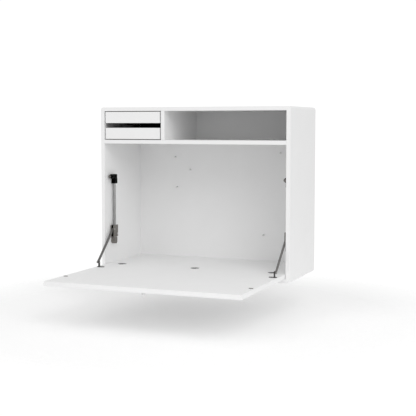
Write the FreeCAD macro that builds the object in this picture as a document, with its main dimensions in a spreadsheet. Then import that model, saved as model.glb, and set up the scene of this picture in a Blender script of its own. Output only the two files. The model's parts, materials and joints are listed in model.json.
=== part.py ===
import FreeCAD, Part
import os
import re
import Sketcher

# Wall-hung secretary desk: mitred carcass, open shelf, two tray drawers, and a fold-down writing
# flap held by two braked stays.  X runs left to right, +Y points into the wall, +Z is up.
# The origin lies on the wall plane, in the middle of the lower edge of the carcass.
# Rest position: flap open and level, drawers shut.

doc = FreeCAD.newDocument("secretary_desk")
sizes = doc.addObject("Spreadsheet::Sheet", "Sizes")
nodes = []

DRIVING = [
    # carcass
    ("width", 820), ("height", 688), ("depth", 352), ("board", 16), ("corner_radius", 11),
    ("mitre_inset", 3.222), ("back_sheet", 8), ("back_inset", 8), ("groove_play", 0.2),
    ("groove_deep", 6.3), ("back_tongue", 6), ("shelf_low", 538.5), ("shelf_back_gap", 0.3),
    ("divider_left", -137), ("floor_board", 19), ("floor_in", 30), ("floor_gap", 0.3),
    ("dowel_radius", 4), ("dowel_length", 24), ("dowel_sunk", 10), ("dowel_play", 0.05),
    ("over", 1), ("blind_spare", 0.5),
    ("shelf_dowel_a", 50), ("shelf_dowel_b", 170), ("shelf_dowel_c", 290),
    ("divider_dowel_a", 80), ("divider_dowel_b", 260),
    # hanging plates
    ("plate_size", 60), ("plate_thick", 2.5), ("plate_side_inset", 4), ("hang_spacing", 740),
    ("hang_drop", 40), ("hang_radius", 4), ("small_screw_radius", 1.5), ("small_head_radius", 3),
    ("small_head_high", 1.6), ("screw_play", 0.05), ("plate_screw_near", 8),
    ("plate_screw_far", 28), ("plate_pilot", 12.5),
    # flap and its hinge line (measured inwards from the front plane)
    ("flap_board", 18), ("flap_gap", 2), ("flap_reach", 491.4), ("pivot_in", 15.2),
    ("pivot_up", 30.2), ("edge_round", 13.2), ("edge_soft", 1.2),
    ("hinge_offset", 331), ("disc_radius", 18.5), ("disc_in", 29.2), ("disc_high", 9.3),
    ("disc_low", 25.5), ("disc_play", 0.1), ("cup_end", 27.4), ("base_start", 30.4),
    ("hinge_arm_half", 6), ("cup_slot_half", 6.4), ("slot_front", 11.6), ("slot_floor", 26.7),
    ("barrel_radius", 3), ("hinge_pin_radius", 1.5), ("hinge_pin_half", 10),
    ("running_play", 0.05), ("hinge_arm_low", 28.2), ("hinge_arm_high", 5),
    ("cup_screw_side", 11.5), ("cup_screw_in", 20), ("base_screw_side", 9),
    ("base_screw_in", 40), ("hinge_screw_length", 14), ("hinge_pilot", 5),
    # tray drawers
    ("drawer_side_gap", 5), ("drawer_gap", 3), ("front_high", 46), ("front_thick", 12),
    ("tray_wall", 10), ("tray_high", 38), ("tray_lift", 3), ("tray_back_in", 320),
    ("tray_back_rise", 24), ("tray_floor", 5), ("tray_floor_lift", 7), ("tray_groove", 4),
    ("tray_play", 0.2),
    ("runner_high", 8), ("runner_wide", 9.5), ("runner_lift", 24), ("runner_start", 24),
    ("runner_length", 290), ("runner_play", 0.4), ("runner_slot", 5),
    ("runner_screw_a", 30), ("runner_screw_b", 250),
    # flap stays (distances out from the inner face of the side panel, and inwards from the front)
    ("rod_out", 11), ("rod_in", 62.5), ("rod_radius", 5.5), ("rod_low", 126), ("rod_high", 396),
    ("head_low", 390), ("head_high", 19), ("head_out", 19), ("head_in", 46), ("head_long", 30),
    ("nose_out", 11), ("nose_radius", 8.7), ("nose_in", 31), ("snout_in", 22),
    ("snout_radius", 6.5), ("neck_low", 369), ("neck_out", 2), ("neck_wide", 16.5),
    ("neck_in", 54), ("neck_long", 25), ("catch_out", 16), ("catch_up", 400),
    ("magnet_radius", 5), ("magnet_long", 4), ("clip_out", 18), ("clip_radius", 11),
    ("clip_high", 17), ("clip_screw_drop", 6),
    ("wall_screw_length", 24), ("wall_screw_seat", 14), ("bore_radius", 3.4),
    ("head_screw_a", 52), ("head_screw_b", 70), ("slider_low", 145), ("slider_high", 49),
    ("slider_out", 3), ("slider_wide", 15.5), ("slider_in", 43), ("slider_long", 37),
    ("fork_in", 48), ("fork_up", 178), ("fork_radius", 6), ("arm_out", 7.5), ("arm_thick", 6.5),
    ("fork_gap", 0.5), ("channel_deep", 12.5), ("arm_half", 4), ("foot_in", -86),
    ("foot_up", 54), ("foot_plate_out", 7), ("foot_plate_long", 32), ("foot_plate_wide", 16),
    ("foot_plate_thick", 2), ("foot_lug_out", 14.8), ("foot_lug_thick", 2.8),
    ("foot_pin_radius", 2.5), ("foot_head_radius", 4), ("foot_head_high", 1.5),
    ("foot_screw_a", 23), ("foot_screw_b", 33), ("foot_screw_length", 12),
    ("rivet_radius", 2.5), ("rivet_head_radius", 4), ("rivet_head_high", 1.2),
    ("brake_up", 157), ("brake_radius", 4.5), ("brake_high", 2.5),
    ("brake_slot", 1.2), ("brake_slot_deep", 1), ("brake_behind", 8), ("brake_core", 5),
    ("head_round", 3), ("pin_spare", 0.3), ("arm_eye_play", 0.3),
    # catch plates, knob and pegs
    ("catch_long", 17), ("catch_wide", 10), ("catch_thick", 1.7), ("catch_screw_length", 9),
    ("knob_in", -450), ("knob_radius", 7), ("knob_long", 16), ("knob_neck", 4.5),
    ("knob_chamfer", 2), ("knob_band", 6), ("knob_flare", 4),
    ("stud_radius", 2), ("stud_sunk", 11), ("stud_long", 21),
    ("peg_radius", 3.5), ("peg_long", 13), ("tenon_radius", 2), ("tenon_long", 6),
    ("peg_a_x", -220), ("peg_a_z", 475), ("peg_b_x", -148), ("peg_b_z", 420),
    ("peg_c_x", -211), ("peg_c_z", 343), ("peg_d_x", 265), ("peg_d_z", 497),
    ("peg_e_x", 191), ("peg_e_z", 146),
]
for row, (alias, value) in enumerate(DRIVING, start=1):
    sizes.set("A%d" % row, alias)
    sizes.set("B%d" % row, str(value))
    sizes.setAlias("B%d" % row, alias)
doc.recompute()


def q(text):
    """Turn the aliases in an expression into references to the sheet."""
    return re.sub(r"[a-z][a-z_]*", lambda hit: "Sizes." + hit.group(0), str(text))


def num(text):
    value = sizes.evalExpression(q(text))
    return float(getattr(value, "Value", value))


# ---------------------------------------------------------------- positions shared by many parts
INNER = "(width/2 - board)"
FLAP_LOW = "(pivot_up - edge_round)"
FLAP_TOP = "(pivot_up - edge_round + flap_board)"
FLAP_BACK = "(-depth + pivot_in + edge_round)"
SHELF_TOP = "(shelf_low + board)"
BACK_FACE = "(-back_inset - back_sheet)"
SIDES = (("left", -1), ("right", 1))
HINGES = (("left", "-hinge_offset"), ("centre", "0"), ("right", "hinge_offset"))
TRAYS = (("lower", "(%s + drawer_gap)" % SHELF_TOP),
         ("upper", "(height - board - drawer_gap - front_high)"))
TRAY_LEFT = "(-%s + drawer_side_gap)" % INNER
TRAY_RIGHT = "(divider_left - drawer_side_gap)"


def inwards(distance):
    """Y of a point that lies this far behind the front plane of the carcass."""
    return "(-depth + %s)" % distance


def out_from(side, near, far):
    """Start of an X span lying near..far from the inner face of one side panel."""
    if side < 0:
        return "(-%s + %s)" % (INNER, near)
    return "(%s - %s)" % (INNER, far)


# ---------------------------------------------------------------- primitive helpers
TURNS = {
    "x": FreeCAD.Rotation(FreeCAD.Vector(0, 1, 0), 90),
    "-x": FreeCAD.Rotation(FreeCAD.Vector(0, 1, 0), -90),
    "y": FreeCAD.Rotation(FreeCAD.Vector(1, 0, 0), -90),
    "-y": FreeCAD.Rotation(FreeCAD.Vector(1, 0, 0), 90),
    "z": FreeCAD.Rotation(),
    "-z": FreeCAD.Rotation(FreeCAD.Vector(1, 0, 0), 180),
}


def put(item, x, y, z, axis="z"):
    item.Placement = FreeCAD.Placement(FreeCAD.Vector(), TURNS[axis])
    item.setExpression("Placement.Base.x", q(x))
    item.setExpression("Placement.Base.y", q(y))
    item.setExpression("Placement.Base.z", q(z))
    return item


def block(name, x, y, z, long, wide, high):
    item = doc.addObject("Part::Box", name)
    item.setExpression("Length", q(long))
    item.setExpression("Width", q(wide))
    item.setExpression("Height", q(high))
    return put(item, x, y, z)


def round_bar(name, axis, x, y, z, radius, long):
    item = doc.addObject("Part::Cylinder", name)
    item.setExpression("Radius", q(radius))
    item.setExpression("Height", q(long))
    return put(item, x, y, z, axis)


def taper(name, axis, x, y, z, start, end, long):
    item = doc.addObject("Part::Cone", name)
    item.setExpression("Radius1", q(start))
    item.setExpression("Radius2", q(end))
    item.setExpression("Height", q(long))
    return put(item, x, y, z, axis)


def fuse(name, shapes):
    item = doc.addObject("Part::MultiFuse", name)
    item.Shapes = shapes
    item.Refine = True
    return item


def cut(name, base, tools):
    item = doc.addObject("Part::Cut", name)
    item.Base = base
    item.Tool = tools[0] if len(tools) == 1 else fuse(name + "_tools", tools)
    item.Refine = True
    return item


def common(name, first, second):
    item = doc.addObject("Part::Common", name)
    item.Base = first
    item.Tool = second
    return item


def soften(name, base, radius, pick):
    """Fillet the edges of a solid that the pick function accepts."""
    doc.recompute()
    item = doc.addObject("Part::Fillet", name)
    item.Base = base
    found = [i for i, edge in enumerate(base.Shape.Edges, start=1) if pick(edge)]
    item.Edges = [(i, radius, radius) for i in found]
    return item


def node(item, label):
    item.Label = label
    nodes.append(item)
    return item


# ---------------------------------------------------------------- sketch and body helpers
def new_body(label):
    body = doc.addObject("PartDesign::Body", label)
    return node(body, label)


def flat_sketch(body, name, role, level):
    sketch = body.newObject("Sketcher::SketchObject", name)
    plane = [item for item in body.Origin.OriginFeatures if item.Role == role][0]
    sketch.AttachmentSupport = (plane, [""])
    sketch.MapMode = "FlatFace"
    text = "-(%s)" % level if role == "XZ_Plane" else level
    sketch.setExpression("AttachmentOffset.Base.z", q(text))
    return sketch


def pin_point(sketch, geo, pos, u, v):
    """Fix a sketch point by two driven distances from the origin."""
    for kind, axis, text in (("DistanceX", -2, u), ("DistanceY", -1, v)):
        value = num(text)
        if abs(value) < 1e-9:
            sketch.addConstraint(Sketcher.Constraint("PointOnObject", geo, pos, axis))
        else:
            index = sketch.addConstraint(Sketcher.Constraint(kind, -1, 1, geo, pos, value))
            sketch.setExpression("Constraints[%d]" % index, q(text))


def outline(sketch, points):
    """Closed outline; an entry may carry (centre u, centre v, radius) of the arc that follows it."""
    here = [FreeCAD.Vector(num(p[0]), num(p[1]), 0) for p in points]
    ends = []
    for i, point in enumerate(points):
        start = here[i]
        stop = here[(i + 1) % len(points)]
        if len(point) == 2:
            geo = sketch.addGeometry(Part.LineSegment(start, stop), False)
            ends.append((geo, 1, 2))
            continue
        centre = FreeCAD.Vector(num(point[2][0]), num(point[2][1]), 0)
        radius = num(point[2][2])
        middle = (start + stop) * 0.5 - centre
        middle = centre + middle * (radius / middle.Length)
        geo = sketch.addGeometry(Part.Arc(start, middle, stop), False)
        forward = (sketch.getPoint(geo, 1) - start).Length < (sketch.getPoint(geo, 2) - start).Length
        ends.append((geo, 1, 2) if forward else (geo, 2, 1))
    for i, (geo, first, last) in enumerate(ends):
        following, begin, _ = ends[(i + 1) % len(ends)]
        sketch.addConstraint(Sketcher.Constraint("Coincident", geo, last, following, begin))
    for (geo, first, last), point in zip(ends, points):
        pin_point(sketch, geo, first, point[0], point[1])
        if len(point) == 3:
            radius = num(point[2][2])
            index = sketch.addConstraint(Sketcher.Constraint("Radius", geo, radius))
            sketch.setExpression("Constraints[%d]" % index, q(point[2][2]))


def rectangle(u0, v0, u1, v1):
    return [(u0, v0), (u1, v0), (u1, v1), (u0, v1)]


def circles(sketch, centres, radius):
    for u, v in centres:
        middle = FreeCAD.Vector(num(u), num(v), 0)
        up = FreeCAD.Vector(0, 0, 1)
        geo = sketch.addGeometry(Part.Circle(middle, up, num(radius)), False)
        pin_point(sketch, geo, 3, u, v)
        index = sketch.addConstraint(Sketcher.Constraint("Radius", geo, num(radius)))
        sketch.setExpression("Constraints[%d]" % index, q(radius))


def pad(body, name, role, level, points, long, back=False):
    sketch = flat_sketch(body, name + "_outline", role, level)
    outline(sketch, points)
    item = body.newObject("PartDesign::Pad", name)
    item.Profile = sketch
    item.setExpression("Length", q(long))
    item.Reversed = back
    doc.recompute()
    return item


def pocket(body, name, sketch, deep, back):
    """Cut a sketched shape into the body and make sure that material really came away."""
    doc.recompute()
    before = body.Shape.Volume
    item = body.newObject("PartDesign::Pocket", name)
    item.Profile = sketch
    item.setExpression("Length", q(deep))
    item.Reversed = back
    doc.recompute()
    if not body.Shape.Volume < before:
        raise RuntimeError("pocket %s removes nothing" % name)
    return item


def recess(body, name, role, level, points, deep, back=False):
    sketch = flat_sketch(body, name + "_outline", role, level)
    outline(sketch, points)
    return pocket(body, name, sketch, deep, back)


def drill(body, name, role, level, centres, radius, deep, back=False):
    sketch = flat_sketch(body, name + "_circles", role, level)
    circles(sketch, centres, radius)
    return pocket(body, name, sketch, deep, back)


def round_off(body, name, radius, pick):
    """Fillet the edges of the finished board that the pick function accepts."""
    doc.recompute()
    base = body.Tip
    found = ["Edge%d" % i for i, edge in enumerate(base.Shape.Edges, start=1) if pick(edge)]
    item = body.newObject("PartDesign::Fillet", name)
    item.Base = (base, found)
    item.setExpression("Radius", q(radius))
    doc.recompute()
    return item


def screw(name, axis, x, y, z, long):
    """Countersunk screw: the head face sits at the given point and the shank follows the axis."""
    head = taper(name + "_head", axis, x, y, z, "small_head_radius", "small_screw_radius",
                 "small_head_high")
    shank = round_bar(name + "_shank", axis, x, y, z, "small_screw_radius", long)
    return fuse(name, [head, shank])


def screw_seat(name, axis, x, y, z, long):
    """Clearance shape for a countersunk screw."""
    head = taper(name + "_sink", axis, x, y, z, "small_head_radius + screw_play",
                 "small_screw_radius + screw_play", "small_head_high")
    shank = round_bar(name + "_hole", axis, x, y, z, "small_screw_radius + screw_play", long)
    return fuse(name, [head, shank])


def group(label, members):
    """Separate solids of one kind kept under a single name."""
    item = doc.addObject("Part::Compound", label)
    item.Links = members
    return node(item, label)


# ---------------------------------------------------------------- mitred carcass frame
def frame_board(label, spot, long):
    """One mitred board of the frame; spot(u, v) gives X and Z for along and across."""
    inset = "mitre_inset"
    radius = "corner_radius"
    far = "(%s - %s)" % (long, radius)
    first = spot(radius, radius) + (radius,)
    last = spot(far, radius) + (radius,)
    body = new_body(label)
    pad(body, label + "_board", "XZ_Plane", "0", [
        spot("board", "board"),
        spot(inset, inset) + (first,),
        spot(radius, "0"),
        spot(far, "0") + (last,),
        spot("(%s - %s)" % (long, inset), inset),
        spot("(%s - board)" % long, "board"),
    ], "depth")
    return body


left = frame_board("left_side", lambda u, v: ("(-width/2 + %s)" % v, u), "height")
right = frame_board("right_side", lambda u, v: ("(width/2 - %s)" % v, u), "height")
top = frame_board("top_panel", lambda u, v: ("(-width/2 + %s)" % u, "(height - %s)" % v), "width")
bottom = frame_board("bottom_panel", lambda u, v: ("(-width/2 + %s)" % u, v), "width")

GROOVE_FRONT = "(%s - groove_play)" % BACK_FACE
GROOVE_BACK = "(-back_inset + groove_play)"
SHELF_DOWELS = [inwards("shelf_dowel_" + place) for place in "abc"]
DIVIDER_DOWELS = [inwards("divider_dowel_" + place) for place in "ab"]
SHELF_MIDDLE = "(shelf_low + board/2)"
DIVIDER_MIDDLE = "(divider_left + board/2)"
HOLE = "dowel_radius + dowel_play"
SUNK = "dowel_sunk + blind_spare"
REST = "dowel_length - dowel_sunk + blind_spare"
PILOT = "small_screw_radius + screw_play"
PLATE_SCREWS = ("plate_screw_near", "plate_screw_far")

for body, side in ((left, -1), (right, 1)):
    name = body.Label
    inner = "(%s)" % INNER if side > 0 else "(-%s)" % INNER
    groove = (inner + " - over", inner + " + groove_deep")
    if side < 0:
        groove = (inner + " - groove_deep", inner + " + over")
    recess(body, name + "_back_groove", "XY_Plane", "height + over",
           rectangle(groove[0], GROOVE_FRONT, groove[1], GROOVE_BACK), "height + 2*over")
    drill(body, name + "_shelf_holes", "YZ_Plane", inner,
          [(y, SHELF_MIDDLE) for y in SHELF_DOWELS], HOLE, SUNK, back=side > 0)
    wall = [(inwards("head_screw_a"), "catch_up"), (inwards("head_screw_b"), "catch_up"),
            (inwards("rod_in"), "(rod_low - clip_screw_drop)")]
    drill(body, name + "_stay_pilots", "YZ_Plane", inner, wall, PILOT,
          "wall_screw_length - wall_screw_seat + blind_spare", back=side > 0)
    plate_low = "(height - plate_side_inset - plate_size)"
    plate_out = "(width/2 - plate_side_inset)"
    span = (plate_out + " - board", plate_out)
    if side < 0:
        span = ("-" + plate_out, "-" + plate_out + " + board")
    recess(body, name + "_plate_seat", "XZ_Plane", "-plate_thick",
           rectangle(span[0], plate_low, span[1], plate_low + " + plate_size"),
           "plate_thick + over")
    edge_line = "%s(width/2 - board/2)" % ("-" if side < 0 else "")
    drill(body, name + "_plate_pilots", "XZ_Plane", "-plate_thick - plate_pilot",
          [(edge_line, plate_low + " + " + up) for up in PLATE_SCREWS], PILOT,
          "plate_pilot + over")

for body, low in ((top, "(height - board - over)"), (bottom, "(board - groove_deep)")):
    name = body.Label
    recess(body, name + "_back_groove", "YZ_Plane", "width/2 + over",
           rectangle(GROOVE_FRONT, low, GROOVE_BACK, low + " + groove_deep + over"),
           "width + 2*over")

drill(top, "top_divider_holes", "XY_Plane", "height - board",
      [(DIVIDER_MIDDLE, y) for y in DIVIDER_DOWELS], HOLE, SUNK, back=True)
PLATE_INNER = "(width/2 - plate_side_inset - plate_size)"
for side_name, side in SIDES:
    sign = "-" if side < 0 else ""
    span = sorted([sign + PLATE_INNER, sign + "(width/2 - plate_side_inset)"], key=num)
    recess(top, "top_plate_seat_" + side_name, "XZ_Plane", "-plate_thick",
           rectangle(span[0], "(height - board - over)", span[1], "(height - plate_side_inset)"),
           "plate_thick + over")
    drill(top, "top_plate_pilots_" + side_name, "XZ_Plane", "-plate_thick - plate_pilot",
          [("%s(%s + %s)" % (sign, PLATE_INNER, along), "(height - board/2)")
           for along in PLATE_SCREWS], PILOT, "plate_pilot + over")

# ---------------------------------------------------------------- boards inside the carcass
PEGS = [("peg_%s_x" % place, "peg_%s_z" % place) for place in "abcde"]
back = new_body("back_panel")
pad(back, "back_sheet_pad", "XZ_Plane", "-back_inset",
    rectangle("-(%s + back_tongue)" % INNER, "(board - back_tongue)",
              "(%s + back_tongue)" % INNER, "(height - board + back_tongue)"), "back_sheet")
drill(back, "back_peg_holes", "XZ_Plane", BACK_FACE, PEGS, "tenon_radius + screw_play",
      "tenon_long + blind_spare")

shelf = new_body("shelf")
pad(shelf, "shelf_board", "XY_Plane", "shelf_low",
    rectangle("-" + INNER, "-depth", INNER, "(%s - shelf_back_gap)" % BACK_FACE), "board")
drill(shelf, "shelf_left_holes", "YZ_Plane", "-" + INNER,
      [(y, SHELF_MIDDLE) for y in SHELF_DOWELS], HOLE, REST, back=True)
drill(shelf, "shelf_right_holes", "YZ_Plane", INNER,
      [(y, SHELF_MIDDLE) for y in SHELF_DOWELS], HOLE, REST)
drill(shelf, "shelf_divider_holes", "XY_Plane", SHELF_TOP,
      [(DIVIDER_MIDDLE, y) for y in DIVIDER_DOWELS], HOLE, SUNK)

divider = new_body("divider")
pad(divider, "divider_board", "YZ_Plane", "divider_left",
    rectangle("-depth", SHELF_TOP, "(%s - shelf_back_gap)" % BACK_FACE, "(height - board)"),
    "board")
for name, level, reverse in (("divider_low_holes", SHELF_TOP, True),
                             ("divider_top_holes", "(height - board)", False)):
    drill(divider, name, "XY_Plane", level,
          [(DIVIDER_MIDDLE, y) for y in DIVIDER_DOWELS], HOLE, REST, back=reverse)

DISC_WELL = "disc_radius + disc_play"
WELL_FLOOR = "(disc_low - disc_play)"
WELL_DEEP = "flap_board - disc_low + disc_play + pivot_up - edge_round"
floor = new_body("inner_floor")
pad(floor, "floor_board_pad", "XY_Plane", "board",
    rectangle("-" + INNER, inwards("floor_in"), INNER, "(%s - floor_gap)" % BACK_FACE),
    "floor_board")
drill(floor, "floor_hinge_wells", "XY_Plane", FLAP_TOP,
      [(x, inwards("disc_in")) for _, x in HINGES], DISC_WELL, WELL_DEEP)
drill(floor, "floor_hinge_pilots", "XY_Plane", WELL_FLOOR,
      [("(%s %s base_screw_side)" % (x, sign), inwards("base_screw_in"))
       for _, x in HINGES for sign in "+-"], PILOT, "hinge_pilot")

dowels = []
for side_name, side in SIDES:
    start = "(%s - %s)" % (INNER, "(dowel_length - dowel_sunk)")
    if side < 0:
        start = "(-%s - dowel_sunk)" % INNER
    for place, y in zip("abc", SHELF_DOWELS):
        dowels.append(round_bar("dowel_%s_%s" % (side_name, place), "x", start, y, SHELF_MIDDLE,
                                "dowel_radius", "dowel_length"))
for place, y in zip("ab", DIVIDER_DOWELS):
    dowels.append(round_bar("dowel_low_" + place, "z", DIVIDER_MIDDLE, y,
                            "(%s - dowel_sunk)" % SHELF_TOP, "dowel_radius", "dowel_length"))
    dowels.append(round_bar("dowel_top_" + place, "z", DIVIDER_MIDDLE, y,
                            "(height - board + dowel_sunk - dowel_length)", "dowel_radius",
                            "dowel_length"))
group("dowels", dowels)

# ---------------------------------------------------------------- hanging plates
plates = []
plate_screws = []
for side_name, side in SIDES:
    sign = "-" if side < 0 else ""
    start = sorted([sign + PLATE_INNER, sign + "(width/2 - plate_side_inset)"], key=num)[0]
    low = "(height - plate_side_inset - plate_size)"
    sheet_metal = block("hang_sheet_" + side_name, start, "-plate_thick", low, "plate_size",
                        "plate_thick", "plate_size")
    holes = [round_bar("hang_hole_" + side_name, "y", sign + "hang_spacing/2",
                       "-plate_thick - over", "(height - hang_drop)", "hang_radius",
                       "plate_thick + 2*over")]
    edge_line = "%s(width/2 - board/2)" % sign
    spots = [(edge_line, low + " + " + up) for up in PLATE_SCREWS]
    spots += [("%s(%s + %s)" % (sign, PLATE_INNER, along), "(height - board/2)")
              for along in PLATE_SCREWS]
    for place, (x, z) in zip("abcd", spots):
        tag = "hang_%s_%s" % (side_name, place)
        holes.append(screw_seat(tag + "_seat", "-y", x, "0", z, "plate_thick + over"))
        plate_screws.append(screw(tag + "_screw", "-y", x, "0", z, "foot_screw_length"))
    plates.append(cut("hang_plate_" + side_name, sheet_metal, holes))
group("hanging_plates", plates)
group("hanging_plate_screws", plate_screws)

# ---------------------------------------------------------------- flap
flap = new_body("flap")
FLAP_HALF = "(%s - flap_gap)" % INNER
pad(flap, "flap_board_pad", "YZ_Plane", "-" + FLAP_HALF, [
    (inwards("-flap_reach"), FLAP_LOW),
    (inwards("pivot_in"), FLAP_LOW, (inwards("pivot_in"), "pivot_up", "edge_round")),
    (FLAP_BACK, "pivot_up"),
    (FLAP_BACK, FLAP_TOP),
    (inwards("-flap_reach"), FLAP_TOP),
], "2*%s" % FLAP_HALF)
drill(flap, "flap_hinge_wells", "XY_Plane", FLAP_TOP,
      [(x, inwards("disc_in")) for _, x in HINGES], DISC_WELL, WELL_DEEP)
drill(flap, "flap_hinge_pilots", "XY_Plane", WELL_FLOOR,
      [("(%s %s cup_screw_side)" % (x, sign), inwards("cup_screw_in"))
       for _, x in HINGES for sign in "+-"], PILOT, "hinge_pilot")
FOOT_Y = inwards("foot_in")
CATCH_Y = inwards("(pivot_in + pivot_up - catch_up)")
foot_spots = []
catch_spots = []
for side_name, side in SIDES:
    for reach in ("foot_screw_a", "foot_screw_b"):
        foot_spots.append((out_from(side, reach, reach), FOOT_Y))
    catch_spots.append((out_from(side, "catch_out", "catch_out"), CATCH_Y))
drill(flap, "flap_foot_pilots", "XY_Plane", FLAP_TOP, foot_spots, PILOT, "foot_screw_length")
drill(flap, "flap_catch_pilots", "XY_Plane", FLAP_TOP, catch_spots, PILOT, "catch_screw_length")
drill(flap, "flap_knob_hole", "XY_Plane", FLAP_LOW, [("0", inwards("knob_in"))],
      "stud_radius + screw_play", "stud_sunk + blind_spare", back=True)
FRONT_EDGE = num(inwards("-flap_reach"))
NEAR = 0.01
LONG_EDGE = 100
round_off(flap, "flap_soft_edge", "edge_soft",
          lambda edge: edge.BoundBox.YMax < FRONT_EDGE + NEAR
          and edge.BoundBox.XLength > LONG_EDGE)

# ---------------------------------------------------------------- round flush hinges
floor_screws = []
flap_screws = []
hinge_pins = []
for name, x in HINGES:
    disc_y = inwards("disc_in")
    whole = ("z", x, disc_y, "disc_low", "disc_radius", "disc_high")
    front_half = block("cup_half_" + name, "(%s - disc_radius)" % x,
                       "(%s - disc_radius)" % disc_y, "disc_low", "2*disc_radius",
                       "(cup_end - disc_in + disc_radius)", "disc_high")
    rear_half = block("base_half_" + name, "(%s - disc_radius)" % x, inwards("base_start"),
                      "disc_low", "2*disc_radius", "disc_radius", "disc_high")
    cup = common("cup_solid_" + name, round_bar("cup_disc_" + name, *whole), front_half)
    seat = common("base_solid_" + name, round_bar("base_disc_" + name, *whole), rear_half)
    slot = block("cup_slot_" + name, "(%s - cup_slot_half)" % x, inwards("slot_front"),
                 "slot_floor", "2*cup_slot_half", "disc_radius", "disc_high")
    pin_at = (inwards("pivot_in"), "pivot_up")
    tight = round_bar("cup_bore_" + name, "x", "(%s - hinge_pin_half)" % x, *pin_at,
                      "hinge_pin_radius", "2*hinge_pin_half")
    loose = round_bar("arm_bore_" + name, "x", "(%s - disc_radius)" % x, *pin_at,
                      "hinge_pin_radius + running_play", "2*disc_radius")
    top_face = "(disc_low + disc_high)"
    cup_tools = [slot, tight]
    base_tools = [loose]
    for letter, sign in (("a", "-"), ("b", "+")):
        spot = ("(%s %s cup_screw_side)" % (x, sign), inwards("cup_screw_in"), top_face)
        cup_tools.append(screw_seat("cup_seat_%s_%s" % (name, letter), "-z", *spot,
                                    "disc_high + over"))
        flap_screws.append(screw("cup_screw_%s_%s" % (name, letter), "-z", *spot,
                                 "hinge_screw_length"))
        spot = ("(%s %s base_screw_side)" % (x, sign), inwards("base_screw_in"), top_face)
        base_tools.append(screw_seat("base_seat_%s_%s" % (name, letter), "-z", *spot,
                                     "disc_high + over"))
        floor_screws.append(screw("base_screw_%s_%s" % (name, letter), "-z", *spot,
                                  "hinge_screw_length"))
    node(cut("hinge_cup_" + name, cup, cup_tools), "hinge_cup_" + name)
    arm = block("hinge_bar_" + name, "(%s - hinge_arm_half)" % x, pin_at[0], "hinge_arm_low",
                "2*hinge_arm_half", "(base_start - pivot_in + over)", "hinge_arm_high")
    barrel = round_bar("hinge_barrel_" + name, "x", "(%s - hinge_arm_half)" % x, *pin_at,
                       "barrel_radius", "2*hinge_arm_half")
    node(cut("hinge_base_" + name, fuse("hinge_leaf_" + name, [seat, arm, barrel]), base_tools),
         "hinge_base_" + name)
    hinge_pins.append(round_bar("hinge_pin_" + name, "x", "(%s - hinge_pin_half)" % x, *pin_at,
                                "hinge_pin_radius", "2*hinge_pin_half"))
group("hinge_pins", hinge_pins)
group("hinge_screws_floor", floor_screws)
group("hinge_screws_flap", flap_screws)

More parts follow.
